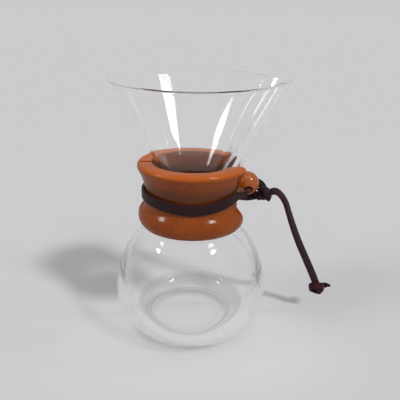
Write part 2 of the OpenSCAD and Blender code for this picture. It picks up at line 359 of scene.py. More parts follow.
# overhand knot at the end of the tail: points to the right, up and towards the viewer
endKnotLook = {
    "centre": (52.4, 11.6, -86.6),  # from the tie knot's centre
    "route": [
        (-1.6, 5.2, 0.4), (-0.6, 2.6, 2.2), (1.2, -0.8, 2.9), (3.6, -3.8, 1.8), (2.6, -5.6, -0.8),
        (-1.6, -4.9, -2.6), (-5.2, -2.4, -1.8), (-5.4, 1.2, 0.8), (-2.6, 3.0, 3.6), (1.8, 3.0, 4.0),
        (4.6, 0.6, 2.2), (4.4, -1.2, -0.8), (5.6, 0.2, -1.4), (8.4, 0.8, -0.2), (11.2, 0.6, 0.2),
    ],
    "width": 5.0,
    "tipWidth": 3.6,
    "tipShare": 0.2,  # of its length, over which the loose end narrows
    "thickness": 2.2,
    "steps": 5,
}
knotNudge = Vector((0.01, 0.02, 0.03))  # mm, so that no side of a knot comes out with no length


def knotRoute(look):
    # the strap's broad face looks away from the knot's centre
    centre = knotCentre + Vector(look["centre"])
    points = [centre + Vector((right, -near, up)) for right, up, near in look["route"]]
    route = smoothLine(points, look["steps"])
    sides = [headingAt(route, i).cross(point - centre + knotNudge) for i, point in enumerate(route)]
    return route, sides


def makeEndKnot():
    look = endKnotLook
    route, sides = knotRoute(look)
    count = len(route) - 1
    widths = []
    for i in range(count + 1):
        towardsTip = max(0, (i / count - (1 - look["tipShare"])) / look["tipShare"])
        widths.append(mixed(look["width"], look["tipWidth"], towardsTip))
    knot = layStrap("end_knot_tied", route, sides, widths, look["thickness"], knotShadeSkins)
    finishPiece(knot, "tail", "leather", "end_knot")
    return knot


endKnotPiece = makeEndKnot()

# clear borosilicate glass, blown in a mould: sharp reflections, faint waves left by the mould
glassLook = {
    "height": 200, "rim": 60.5, "wall": 2.4,
    "lipRadius": 12, "lipSlope": 47.5,
    "rimThin": 1.0, "thinPower": 3,  # how much thinner the rim is, and how late the wall thins
    "neck": 20.5, "neckLow": 114.118, "neckTop": 121.118, "neckRadius": 16, "shoulderAngle": 36.5,
    "footWidth": 3, "pushUp": 0.9,
    "steps": 360, "baseSteps": 12, "floorSteps": 10, "neckSteps": 3, "funnelSteps": 16,
}
# the bowl's two faces: the glass is thin at the neck and thick at the belly and the heel
outerBowl = {"belly": 58.6, "height": 36, "lowRadius": 36, "upperRadius": 73, "upperEnd": 48.6,
             "floor": 0, "corner": 10, "inset": 0}
innerBowl = {"belly": 52.5, "height": 43, "lowRadius": 43, "upperRadius": 64.5, "upperEnd": 46.8,
             "floor": 4.5, "corner": 14, "inset": glassLook["wall"]}


def lipCentre():
    look = glassLook
    rim = Vector((look["rim"] - look["wall"] / 2, look["height"] - look["wall"] / 2))
    return rim - polar(look["lipRadius"] + look["wall"] / 2, 180 - look["lipSlope"])


def funnelSlope():
    # the funnel's straight side touches the curve above the neck and the lip's curve
    look = glassLook
    step = lipCentre() - Vector((look["neck"] + look["neckRadius"], look["neckTop"]))
    spread = math.acos((look["neckRadius"] - look["lipRadius"]) / step.length)
    return 180 - math.degrees(math.atan2(step.y, step.x) + spread)


glassLook["funnelAngle"] = funnelSlope()
channelLook = {
    "depth": 11, "topRadius": 24, "lowRadius": 10,
    "crease": 2.4, "lowCrease": 0.4,  # rounding at the rim in mm, and the share of it left at the neck
    "reach": 60,  # degrees to each side
}
# the channel's outermost line starts beside the funnel's straight side, carried down to the neck
funnelLean = math.radians(glassLook["funnelAngle"])
funnelFoot = (glassLook["neck"] + glassLook["neckRadius"] - glassLook["neckRadius"] / math.cos(funnelLean)
              - (glassLook["neckTop"] - glassLook["neckLow"]) * math.tan(funnelLean))
channelLook["edgeDrop"] = glassLook["neck"] - funnelFoot


def glassSide(bowl):
    look = glassLook
    inset = bowl["inset"]
    belly = Vector((bowl["belly"] - bowl["lowRadius"], bowl["height"]))
    reach = bowl["lowRadius"] - bowl["corner"]
    drop = bowl["height"] - bowl["floor"] - bowl["corner"]
    foot = Vector((belly.x + math.sqrt(reach ** 2 - drop ** 2), belly.y - drop))
    footEnd = math.degrees(math.atan2(foot.y - belly.y, foot.x - belly.x))
    line = arcPoints(foot, bowl["corner"], -90, footEnd)
    line += arcPoints(belly, bowl["lowRadius"], footEnd, 0)[1:]
    upper = Vector((bowl["belly"] - bowl["upperRadius"], bowl["height"]))
    line += arcPoints(upper, bowl["upperRadius"], 0, bowl["upperEnd"], 2)[1:]
    # under the collar a hollow curve leads to the neck
    neck = Vector((look["neck"] - inset, look["neckLow"]))
    facing = polar(1, bowl["upperEnd"])
    throat = (neck - line[-1]).dot(facing) / (1 - facing.x)
    shoulder = arcPoints((neck.x + throat, neck.y), throat, 180 + bowl["upperEnd"], 180)
    steps = look["neckSteps"]
    line += [mixed(line[-1], shoulder[0], i / steps) for i in range(1, steps)] + shoulder
    line += [mixed(line[-1], Vector((neck.x, look["neckTop"])), i / steps) for i in range(1, steps)]
    outside = look["neck"] + look["neckRadius"]
    line += arcPoints((outside, look["neckTop"]), look["neckRadius"] + inset, 180,
                      180 - look["funnelAngle"])
    flare = arcPoints(lipCentre(), look["lipRadius"] + inset, 180 - look["funnelAngle"],
                      180 - look["lipSlope"])
    steps = look["funnelSteps"]
    return line + [mixed(line[-1], flare[0], i / steps) for i in range(1, steps)] + flare


def radiusAt(side, height):
    # radius of a side at a height above the bowl's widest part
    rising = [point for point in side if point.y >= innerBowl["height"]]
    for low, high in zip(rising, rising[1:]):
        if low.y <= height <= high.y and high.y > low.y:
            return mixed(low.x, high.x, (height - low.y) / (high.y - low.y))
    return rising[-1].x


def channelRadius(angle, height, inset):
    # how far the channel's cone reaches from the glass's axis, in one direction
    look, glass = channelLook, glassLook
    run = (glass["height"] - glass["neckLow"]) / math.cos(funnelLean)
    flare = math.asin((look["topRadius"] - look["lowRadius"]) / run)
    lean = funnelLean - flare
    edge = glass["neck"] + look["depth"] - look["edgeDrop"]
    axisX = edge - look["lowRadius"] * math.cos(lean)
    axisZ = glass["neckLow"] + look["lowRadius"] * math.sin(lean)
    low = look["lowRadius"] - inset / math.cos(flare)
    slope = math.tan(flare)
    p = math.cos(angle) * math.sin(lean)
    q = -axisX * math.sin(lean) + (height - axisZ) * math.cos(lean)
    a = 1 - p * p * (1 + slope ** 2)
    b = -2 * axisX * math.cos(angle) - 2 * p * q * (1 + slope ** 2) - 2 * low * slope * p
    c = axisX ** 2 + (height - axisZ) ** 2 - q * q * (1 + slope ** 2) - 2 * low * slope * q - low ** 2
    rest = b * b - 4 * a * c
    return (-b + math.copysign(math.sqrt(abs(rest)), rest)) / (2 * a)


def softMax(a, b, blend):
    near = max(blend - abs(a - b), 0)
    return max(a, b) + near * near / (4 * blend)


def thinRim(inner):
    # the wall thins towards the rim
    look = glassLook
    run = look["height"] - look["neckTop"]
    thinned = []
    for point in inner:
        share = max(0, (point.y - look["neckTop"]) / run) ** look["thinPower"]
        thinned.append(point - polar(look["rimThin"] * share, 180 - look["lipSlope"]))
    return thinned


def makeGlass():
    look = glassLook
    outer = glassSide(outerBowl)
    inner = thinRim(glassSide(innerBowl))
    rim = (outer[-1] + inner[-1]) / 2
    edge = arcPoints(rim, (outer[-1] - rim).length, -look["lipSlope"], 180 - look["lipSlope"], 18)
    steps = look["floorSteps"]
    floor = [Vector((inner[0].x * i / steps, inner[0].y)) for i in range(steps)]
    recess = outer[0].x - look["footWidth"]
    steps = look["baseSteps"]
    base = [Vector((recess * i / steps, look["pushUp"] * (1 + math.cos(math.pi * i / steps)) / 2))
            for i in range(steps + 1)]
    glass = drawLine("blown_glass", base + outer + edge[1:-1] + inner[::-1] + floor[::-1])
    turnOnLathe(look["steps"])
    closeSeams(0.02 * mm)
    objectMode()
    pressChannel(glass, outer, inner)
    bpy.ops.object.shade_smooth()
    finishPiece(glass, "vessel", "glass", "glass_vessel")
    return glass


def pressChannel(glass, outer, inner):
    # the pouring channel, with its creases rounded as in pressed glass
    low = glassLook["neckLow"] - glassLook["neckRadius"]
    cache = {}
    for vertex in glass.data.vertices:
        x, y, height = vertex.co / mm
        angle = math.atan2(y, x)
        if height < low or abs(math.degrees(angle)) > channelLook["reach"]:
            continue
        key = round(height, 3)
        if key not in cache:
            cache[key] = radiusAt(outer, height), radiusAt(inner, height)
        outside, inside = cache[key]
        rise = (height - low) / (glassLook["height"] - low)
        blend = channelLook["crease"] * mixed(channelLook["lowCrease"], 1, rise)
        radius = math.hypot(x, y)
        share = min(1, max(0, (radius - inside) / (outside - inside)))
        newOutside = softMax(outside, channelRadius(angle, height, 0), blend)
        newInside = softMax(inside, channelRadius(angle, height, glassLook["wall"]), blend)
        grown = mixed(newInside, newOutside, share) / radius
        vertex.co = (vertex.co.x * grown, vertex.co.y * grown, vertex.co.z)


glassWaves = {"size": 14.0, "height": 0.05, "strength": 0.25}  # sizes in mm
# painted shade: tone of the inner face where it turns into the floor, by radius in mm
paintedShadeRings = {34.0: "#FFFFFF", 34.6: "#CCCDCA", 35.5: "#F6F7F5", 38.0: "#E6E7E4", 43.0: "#CBCCC8",
              46.5: "#FFFFFF"}
# the inner face near the floor lies above a sloping line and below a height, in mm
innerFace = {"slope": 0.42, "drop": 10, "top": 22}
heelLook = {"radius": (30, 38), "height": (4, 7), "hold": "#B0B1B1"}  # mm, and what the heel lets through
wallLook = {"clear": "#FFFFFF", "aslant": "#D6D8D8", "power": 3.0}  # what the wall lets through
deepRay = 6  # reflections inside the wall, past which light goes straight on


def makeGlassMaterial():
    material, tree, shader = newMaterial("clear_borosilicate_glass")
    clearTone = toLinear(wallLook["clear"])
    place = addNode(tree, "ShaderNodeTexCoord").outputs["Object"]
    waves = addNode(tree, "ShaderNodeTexNoise", {"Scale": 1 / (glassWaves["size"] * mm), "Detail": 1.0},
                    {"Vector": place})
    bumps = addNode(tree, "ShaderNodeBump",
                    {"Strength": glassWaves["strength"], "Distance": glassWaves["height"] * mm},
                    {"Height": waves.outputs["Fac"]})
    tree.links.new(bumps.outputs["Normal"], shader.inputs["Normal"])
    setSockets(shader, {"Roughness": 0.0, "IOR": 1.47, "Transmission Weight": 1.0})
    # grey rings on the inner face round the floor, set to deepen the shade there
    flat = addNode(tree, "ShaderNodeVectorMath", {"operation": "MULTIPLY", 1: (1, 1, 0)}, {0: place})
    radius = addNode(tree, "ShaderNodeVectorMath", {"operation": "LENGTH"}, {0: flat.outputs["Vector"]})
    spread = addNode(tree, "ShaderNodeMath", {"operation": "DIVIDE", 1: glassLook["rim"] * mm},
                     {0: radius.outputs["Value"]})
    rings = addNode(tree, "ShaderNodeValToRGB", None, {"Fac": spread.outputs["Value"]})
    stops = rings.color_ramp.elements
    stops[0].color = stops[1].color = clearTone
    for ringRadius, tone in paintedShadeRings.items():
        stops.new(ringRadius / glassLook["rim"]).color = toLinear(tone)
    height = addNode(tree, "ShaderNodeSeparateXYZ", None, {"Vector": place})
    between = addNode(tree, "ShaderNodeMath",
                      {"operation": "MULTIPLY_ADD", 1: innerFace["slope"], 2: -innerFace["drop"] * mm},
                      {0: radius.outputs["Value"]})
    above = addNode(tree, "ShaderNodeMath", {"operation": "GREATER_THAN"},
                    {0: height.outputs["Z"], 1: between.outputs["Value"]})
    below = addNode(tree, "ShaderNodeMath", {"operation": "LESS_THAN", 1: innerFace["top"] * mm},
                    {0: height.outputs["Z"]})
    inFloor = addNode(tree, "ShaderNodeMath", {"operation": "MULTIPLY"},
                      {0: above.outputs["Value"], 1: below.outputs["Value"]})
    ringed = addNode(tree, "ShaderNodeMix", {"data_type": "RGBA", 6: clearTone},
                     {0: inFloor.outputs["Value"], 7: rings.outputs["Color"]})
    tree.links.new(ringed.outputs[2], shader.inputs["Base Color"])
    # light that meets the wall aslant is partly held back
    slant = addNode(tree, "ShaderNodeLayerWeight", {"Blend": 0.5})
    held = addNode(tree, "ShaderNodeMath", {"operation": "POWER", 1: wallLook["power"]},
                   {0: slant.outputs["Facing"]})
    tint = addNode(tree, "ShaderNodeMix",
                   {"data_type": "RGBA", 6: clearTone, 7: toLinear(wallLook["aslant"])},
                   {0: held.outputs["Value"]})
    # the round heel turns part of the light away from the floor under it
    wide = addNode(tree, "ShaderNodeMapRange",
                   {"From Min": heelLook["radius"][0] * mm, "From Max": heelLook["radius"][1] * mm},
                   {"Value": radius.outputs["Value"]})
    low = addNode(tree, "ShaderNodeMapRange",
                  {"From Min": heelLook["height"][1] * mm, "From Max": heelLook["height"][0] * mm},
                  {"Value": height.outputs["Z"]})
    outside = addNode(tree, "ShaderNodeMath", {"operation": "LESS_THAN"},
                      {0: height.outputs["Z"], 1: between.outputs["Value"]})
    lowWide = addNode(tree, "ShaderNodeMath", {"operation": "MULTIPLY"},
                      {0: wide.outputs["Result"], 1: low.outputs["Result"]})
    ring = addNode(tree, "ShaderNodeMath", {"operation": "MULTIPLY"},
                   {0: lowWide.outputs["Value"], 1: outside.outputs["Value"]})
    rays = addNode(tree, "ShaderNodeLightPath")
    inHeel = addNode(tree, "ShaderNodeMath", {"operation": "MULTIPLY"},
                     {0: ring.outputs["Value"], 1: rays.outputs["Is Shadow Ray"]})
    shade = addNode(tree, "ShaderNodeMix", {"data_type": "RGBA", 7: toLinear(heelLook["hold"])},
                    {0: inHeel.outputs["Value"], 6: tint.outputs[2]})
    clear = addNode(tree, "ShaderNodeBsdfTransparent", None, {"Color": shade.outputs[2]})
    passing = addNode(tree, "ShaderNodeMath", {"operation": "MAXIMUM"},
                      {0: rays.outputs["Is Shadow Ray"], 1: rays.outputs["Is Diffuse Ray"]})
    deep = addNode(tree, "ShaderNodeMath", {"operation": "GREATER_THAN", 1: deepRay},
                   {0: rays.outputs["Ray Depth"]})
    through = addNode(tree, "ShaderNodeMath", {"operation": "MAXIMUM"},
                      {0: passing.outputs["Value"], 1: deep.outputs["Value"]})
    both = addNode(tree, "ShaderNodeMixShader", None,
                   {0: through.outputs["Value"], 1: shader.outputs[0], 2: clear.outputs[0]})
    tree.links.new(both.outputs[0], tree.nodes["Material Output"].inputs["Surface"])
    return material


glassPiece = makeGlass()
glassPiece.data.materials.append(makeGlassMaterial())

# turned hardwood, stained orange-brown, under a satin lacquer that gives soft white glints
woodLook = {
    "dark": "#743000", "middle": "#823A01", "light": "#8F4605", "pore": "#562705",
    "streak": 1.2,  # mm between streaks of grain
    "stretch": 4.0,  # how much longer a streak is than wide
    "cloud": 26.0,  # mm across a patch of deeper stain
    "cloudShare": 0.45,  # of the tone, the rest is the streaks'
    "stops": (0.34, 0.5, 0.68),  # where the dark, middle and light tones lie
    "poreSize": 0.5,  # mm, coarser than the real pores so that they show
    "poreStarts": (0.62, 0.74), "poreShare": 0.5,  # where a pore begins and is full, and how dark
    "bumpDepth": 0.05,  # mm that a streak stands out
    "roughness": (0.34, 0.48),
    # painted shade and painted light: the dark band is painted shade in the waist under the upper flange,
    # the pale band is painted light on the top
    # tone, height and reach in mm: the waist is darker and the top paler
    "paintedLightAndShadeBands": [("#452714", 119.0, (3.0, 12.0)), ("#BC5C12", 139.0, (0.8, 4.5))],
    "paintedBandShare": 0.75,
    "specular": 0.0, "coat": 0.55, "coatRoughness": 0.18,  # only the lacquer shines
}
# the bore is only oiled, so it is matt; its tone is darker than the outside, and its band is painted
# shade deeper down the bore
boreLook = {**woodLook, "dark": "#573429", "middle": "#643E33", "light": "#72493D", "coat": 0.0,
            "paintedLightAndShadeBands": [("#34190F", 121.0, (6.0, 16.0))]}
# the bead took less stain and is polished, so its glints are sharp
beadTone = {**woodLook, "paintedLightAndShadeBands": [], "dark": "#8A420A", "middle": "#9E4F10", "light": "#AF5F1C",
            "coat": 1.0, "coatRoughness": 0.07}
# the sawn faces are near black: painted shade in the slit and in the opening between the halves
sawnShadeLook = {**boreLook, "paintedLightAndShadeBands": [], "dark": "#20100A", "middle": "#2C160D", "light": "#381D12"}


def makeWood(name, look):
    material, tree, shader = newMaterial(name)
    place = addNode(tree, "ShaderNodeTexCoord").outputs["Object"]
    alongGrain = addNode(tree, "ShaderNodeMapping", {"Scale": (1, 1, 1 / look["stretch"])},
                         {"Vector": place})
    streaks = addNode(tree, "ShaderNodeTexNoise",
                      {"Scale": 1 / (look["streak"] * mm), "Detail": 4.0, "Roughness": 0.55,
                       "Distortion": 0.3},
                      {"Vector": alongGrain.outputs["Vector"]})
    clouds = addNode(tree, "ShaderNodeTexNoise", {"Scale": 1 / (look["cloud"] * mm), "Detail": 2.0},
                     {"Vector": place})
    pores = addNode(tree, "ShaderNodeTexNoise",
                    {"Scale": 1 / (look["poreSize"] * mm), "Detail": 1.0},
                    {"Vector": alongGrain.outputs["Vector"]})
    streakTone = addNode(tree, "ShaderNodeMath", {"operation": "MULTIPLY", 1: 1 - look["cloudShare"]},
                         {0: streaks.outputs["Fac"]})
    tone = addNode(tree, "ShaderNodeMath", {"operation": "MULTIPLY_ADD", 1: look["cloudShare"]},
                   {0: clouds.outputs["Fac"], 2: streakTone.outputs["Value"]})
    ramp = addNode(tree, "ShaderNodeValToRGB", None, {"Fac": tone.outputs["Value"]})
    darkStop, middleStop, lightStop = look["stops"]
    tones = ramp.color_ramp.elements
    tones[0].position = darkStop
    tones[0].color = toLinear(look["dark"])
    tones[1].position = lightStop
    tones[1].color = toLinear(look["light"])
    tones.new(middleStop).color = toLinear(look["middle"])
    poreShare = addNode(tree, "ShaderNodeMapRange",
                        {"From Min": look["poreStarts"][0], "From Max": look["poreStarts"][1],
                         "To Min": 0.0, "To Max": look["poreShare"]},
                        {"Value": pores.outputs["Fac"]})
    colour = addNode(tree, "ShaderNodeMix", {"data_type": "RGBA", 7: toLinear(look["pore"])},
                     {0: poreShare.outputs["Result"], 6: ramp.outputs["Color"]})
    shine = addNode(tree, "ShaderNodeMapRange",
                    {"To Min": look["roughness"][0], "To Max": look["roughness"][1]},
                    {"Value": streaks.outputs["Fac"]})
    bumps = addNode(tree, "ShaderNodeBump", {"Strength": 0.15, "Distance": look["bumpDepth"] * mm},
                    {"Height": streaks.outputs["Fac"]})
    height = addNode(tree, "ShaderNodeSeparateXYZ", None, {"Vector": place})
    # painted light and painted shade: bands of paler or darker tone round a height
    for paintedTone, level, (near, far) in look["paintedLightAndShadeBands"]:
        away = addNode(tree, "ShaderNodeMath", {"operation": "SUBTRACT", 1: level * mm},
                       {0: height.outputs["Z"]})
        reach = addNode(tree, "ShaderNodeMath", {"operation": "ABSOLUTE"}, {0: away.outputs["Value"]})
        share = addNode(tree, "ShaderNodeMapRange",
                        {"interpolation_type": "SMOOTHSTEP", "From Min": near * mm,
                         "From Max": far * mm, "To Min": look["paintedBandShare"], "To Max": 0.0},
                        {"Value": reach.outputs["Value"]})
        colour = addNode(tree, "ShaderNodeMix", {"data_type": "RGBA", 7: toLinear(paintedTone)},
                         {0: share.outputs["Result"], 6: colour.outputs[2]})
    tree.links.new(colour.outputs[2], shader.inputs["Base Color"])
    tree.links.new(shine.outputs["Result"], shader.inputs["Roughness"])
    tree.links.new(bumps.outputs["Normal"], shader.inputs["Normal"])
    setSockets(shader, {"IOR": 1.5, "Specular IOR Level": look["specular"], "Coat Weight": look["coat"],
                        "Coat Roughness": look["coatRoughness"], "Coat IOR": 1.5})
    return material


collarWood = makeWood("stained_hardwood_lacquered", woodLook)
boreWood = makeWood("stained_hardwood_oiled", boreLook)
sawnShadeWood = makeWood("stained_hardwood_sawn_painted_shade", sawnShadeLook)
beadWood = makeWood("stained_hardwood_bead", beadTone)

collarLook = {
    "low": 91.003, "height": 48, "footRadius": 34.1, "footIn": 3,
    "flangeTop": 41, "roundTop": 3, "flangeLow": 40.6, "roundLow": 10, "lowRise": 7.1, "lowStart": -41,
    "waist": 35, "waistRise": 22,
    "mouth": 29.98, "mouthRound": 1.6, "bore": 20.9,
    "slit": 3.0, "opening": 30.9, "edgeRound": 0.7,
    "steps": 96, "straightSteps": 6, "arcStep": 6,  # the last in degrees
    "manyCorners": 20,  # only the sawn faces have more
    "boreFacing": -0.5,  # faces turned inwards further than this belong to the bore
}


def collarProfile():
    look = collarLook
    top = look["low"] + look["height"]
    waist = Vector((look["waist"], look["low"] + look["waistRise"]))
    topCentre = Vector((look["flangeTop"] - look["roundTop"], top - look["roundTop"]))
    lowCentre = Vector((look["flangeLow"] - look["roundLow"], look["low"] + look["lowRise"]))

    def hollow(centre, radius):
        a, b = waist - centre
        size = (a * a + b * b - radius * radius) / (2 * (radius - a))
        middle = Vector((waist.x + size, waist.y))
        return middle, size, math.degrees(math.atan2(middle.y - centre.y, middle.x - centre.x))

    lowHollow, lowSize, lowTurn = hollow(lowCentre, look["roundLow"])
    topHollow, topSize, topTurn = hollow(topCentre, look["roundTop"])
    line = [Vector((look["flangeLow"] - look["footIn"], look["low"]))]
    line += arcPoints(lowCentre, look["roundLow"], look["lowStart"], lowTurn, look["arcStep"])
    line += arcPoints(lowHollow, lowSize, 180 + lowTurn, 180, look["arcStep"])[1:]
    line += arcPoints(topHollow, topSize, 180, 180 + topTurn, look["arcStep"])[1:]
    line += arcPoints(topCentre, look["roundTop"], topTurn, 90, look["arcStep"])[1:]
    # the mouth's edge is rounded over into the sloping bore
    boreTop = Vector((look["bore"], glassLook["neckTop"]))
    mouth = Vector((look["mouth"], top))
    slope = (boreTop - mouth).normalized()
    between = Vector((1, 0)).angle(slope) / 2
    reach = look["mouthRound"] / math.tan(between)
    centre = Vector((mouth.x + reach, top - look["mouthRound"]))
    lean = math.degrees(math.atan2(-slope.x, slope.y)) % 360
    line += arcPoints(centre, look["mouthRound"], 90, lean, 10)
    steps = look["straightSteps"]
    line += [mixed(line[-1], boreTop, i / steps) for i in range(1, steps + 1)]
    outside = glassLook["neck"] + glassLook["neckRadius"]
    gap = look["bore"] - glassLook["neck"]
    line += arcPoints((outside, glassLook["neckLow"]), glassLook["neckRadius"] - gap, 180,
                      180 + glassLook["shoulderAngle"], look["arcStep"])
    foot = Vector((look["footRadius"], look["low"]))
    return line + [mixed(line[-1], foot, i / steps) for i in range(1, steps + 1)]


def makeCollarHalf(name, side, body, node):
    # side is -1 for the front half and 1 for the back half
    look = collarLook
    half = drawLine(name, collarProfile())
    bpy.ops.mesh.select_all(action="SELECT")
    bpy.ops.mesh.edge_face_add()  # leaves the edge that closes the line
    bpy.ops.mesh.delete(type="ONLY_FACE")
    turnOnLathe(look["steps"], math.pi)
    objectMode()
    # the two ends are set back from the middle plane, for the slit and for the opening under the bead
    for vertex in half.data.vertices:
        radius = math.hypot(vertex.co.x, vertex.co.y) / mm
        share = abs(math.atan2(vertex.co.y, vertex.co.x)) / math.pi
        start = math.asin(look["opening"] / 2 / radius)
        end = math.pi - math.asin(look["slit"] / 2 / radius)
        angle = side * mixed(start, end, share)
        vertex.co = (radius * math.cos(angle) * mm, radius * math.sin(angle) * mm, vertex.co.z)
    editAll()
    bpy.ops.mesh.remove_doubles(threshold=1e-6)
    bpy.ops.mesh.fill_holes(sides=0)
    closeSeams()
    objectMode()
    roundCutEdges(half)
    bpy.ops.object.shade_smooth_by_angle(angle=math.radians(35))
    for wood in (collarWood, boreWood, sawnShadeWood):
        half.data.materials.append(wood)
    for face in half.data.polygons:
        outward = Vector((face.center.x, face.center.y, 0)).normalized()
        if len(face.vertices) > look["manyCorners"]:
            face.material_index = 2
        elif face.normal.dot(outward) < look["boreFacing"]:
            face.material_index = 1
    finishPiece(half, body, "wood", node)


def roundCutEdges(half):
    # the edges round the two sawn faces are eased
    sawn = [face for face in half.data.polygons if len(face.vertices) > collarLook["manyCorners"]]
    keys = {key for face in sawn for key in face.edge_keys}
    bpy.ops.object.mode_set(mode="EDIT")
    bpy.ops.mesh.select_all(action="DESELECT")
    bpy.ops.mesh.select_mode(type="EDGE")
    objectMode()
    for edge in half.data.edges:
        edge.select = edge.key in keys
    bpy.ops.object.mode_set(mode="EDIT")
    bpy.ops.mesh.bevel(offset=collarLook["edgeRound"] * mm, segments=3, profile=0.5, clamp_overlap=False)
    bpy.ops.mesh.select_mode(type="VERT")
    objectMode()


makeCollarHalf("turned_collar_front", -1, "front_half", "collar_front")
makeCollarHalf("turned_collar_back", 1, "back_half", "collar_back")

beadLook = {"centre": (41.823, 0, 121.503), "radius": 9, "hole": 3, "tilt": 22, "ease": 0.6, "steps": 72,
            "holeSteps": 8}


def makeBead():
    look = beadLook
    # the hole's edge is eased where it meets the ball
    easeCentre = look["hole"] + look["ease"]
    rise = math.sqrt((look["radius"] - look["ease"]) ** 2 - easeCentre ** 2)
    meet = math.degrees(math.atan2(rise, easeCentre))
    line = arcPoints((0, 0), look["radius"], -meet, meet, 5)
    line += arcPoints((easeCentre, rise), look["ease"], meet, 180, 15)[1:]
    steps = look["holeSteps"]
    line += [Vector((look["hole"], mixed(rise, -rise, i / steps))) for i in range(1, steps)]
    line += arcPoints((easeCentre, -rise), look["ease"], 180, 360 - meet, 15)
    bead = drawLine("turned_bead", line)
    turnOnLathe(look["steps"])
    closeSeams(0.005 * mm)
    objectMode()
    bpy.ops.object.shade_smooth()
    bead.rotation_euler = (math.radians(90 + look["tilt"]), 0, 0)
    bead.location = Vector(look["centre"]) * mm
    bpy.ops.object.transform_apply(location=True, rotation=True, scale=True)
    bead.data.materials.append(beadWood)
    finishPiece(bead, "bead", "wood", "bead")


makeBead()

# the strap round the collar: a band in the waist, tied in front of the pouring channel
bandLook = {
    "radius": 36.823, "height": 113.003, "width": 7.4, "thickness": 2.2,
    "leave": 43,  # degrees from the bead, where its ends leave the collar
    "step": 2.0,  # degrees between rings
    "turnOver": 5.0,  # mm to each side of the slit
    "climb": 4.0, "climbFrom": -95, "climbPower": 1.2, "farSide": 2.6,
}


def bandPoint(degrees):
    # the front end is drawn up towards the bead's hole, and the far side from the knot rides up too
    look = bandLook
    flat = polar(look["radius"], degrees)
    run = -look["leave"] - look["climbFrom"]
    share = max(0, degrees - look["climbFrom"]) / run if degrees < 0 else 0
    rise = look["climb"] * share ** look["climbPower"]
    rise += look["farSide"] * max(0, -flat.x / look["radius"])
    return Vector((flat.x, flat.y, look["height"] + rise))


def makeBand():
    look = bandLook
    sweep = 360 - 2 * look["leave"]
    count = round(sweep / look["step"])
    route = [bandPoint(-look["leave"] - sweep * i / count) for i in range(count + 1)]
    sides = [-upward] * (count + 1)
    band = layStrap("strap_band", route, sides, [look["width"]] * (count + 1), look["thickness"])
    seam = bandPoint(180)
    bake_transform(band)
    finishPiece(band, None, "leather", "strap_front", "strap_back")


makeBand()

# the band's front end goes up through the bead, curls down behind it and ends in the knot
frontRunLook = {
    "route": [
        (31.8, -19.7, 117.6), (36.6, -14.6, 117.5), (40.2, -11.2, 117.3), (41.82, -7.4, 118.5),
        (41.82, -2.6, 120.45), (41.82, 4.6, 123.36), (42.4, 9.8, 125.0), (45.2, 12.4, 122.6),
        (49.4, 11.6, 119.6), (53.4, 7.6, 118.2), (55.0, 3.0, 116.6), (55.6, -2.4, 113.8),
        (57.0, -5.0, 111.6), (59.4, -5.4, 110.4),
    ],
    "sides": [
        (0, 0, 1), (0, 0, 1), (0.3, 0, 1), (0.8, 0, 0.5), (1, 0, 0.1), (1, 0, 0), (1, 0, 0), (1, 0, 0.3),
        (0.5, 0, 0.9), (0.2, 0.2, 1), (0.6, 0.3, 0.6), (1, 0.2, 0.2), (1, 0.1, 0), (0.8, 0.1, 0.5),
        (0.5, 0.1, 0.8),
    ],
    "widths": [7.4, 5.8, 4.6, 4.2, 4.2, 4.2, 4.2, 4.4, 5.0, 5.8, 6.0, 5.6, 5.0, 4.6, 4.6],
    "thickness": 2.0, "steps": 6,
}
# the back end sags under the bead and turns over before the knot
backRunLook = {
    "route": [(33.0, 18.6, 109.6), (38.8, 9.4, 107.2), (44.2, 3.6, 109.4), (49.6, -0.6, 111.8),
              (55.2, -2.8, 112.0)],
    "sides": [(0, 0, -1), (0, 0.1, -1), (0.1, 0.5, -1), (0.1, 0.3, 1), (0.1, 0, 1), (0.1, 0, 1)],
    "widths": [7.4, 7.2, 6.6, 6.4, 6.4, 5.4],
    "thickness": 2.0, "steps": 8,
}


def makeRun(name, start, look, body):
    route = smoothLine([start] + [Vector(p) for p in look["route"]], look["steps"])
    sides = smoothLine([Vector(p) for p in look["sides"]], look["steps"])
    widths = smoothLine(look["widths"], look["steps"])
    run = layStrap(name, route, sides, widths, look["thickness"])
    finishPiece(run, body, "leather")


makeRun("strap_front_run", bandPoint(-bandLook["leave"]), frontRunLook, "front_half")
makeRun("strap_back_run", bandPoint(bandLook["leave"]), backRunLook, "back_half")

# the tie knot: a turn drawn tight round both strands
turnLook = {
    "route": [
        (-3.0, 2.6, -2.6), (-1.6, 4.2, 0.6), (0.2, 3.2, 3.8), (1.2, -0.4, 4.6), (0.8, -3.4, 3.0),
        (-0.6, -4.2, -1.2), (-1.2, -1.4, -4.2), (-0.2, 2.4, -4.0), (2.2, 3.8, -1.0), (3.2, 2.0, 2.4),
        (2.2, -1.4, 3.4), (-1.8, -2.6, 2.8), (-4.8, -3.2, 3.0),
    ],
    "centre": (-1.4, 0, 2.2), "width": 4.4, "thickness": 2.0, "steps": 6,
}


def makeTieKnot():
    route, sides = knotRoute(turnLook)
    knot = layStrap("tie_knot_turns", route, sides, [turnLook["width"]] * len(route),
                    turnLook["thickness"], [leatherSkins[0], leatherSkins[1], leatherSkins[0]])
    finishPiece(knot, "front_half", "leather", "tie_knot")


makeTieKnot()

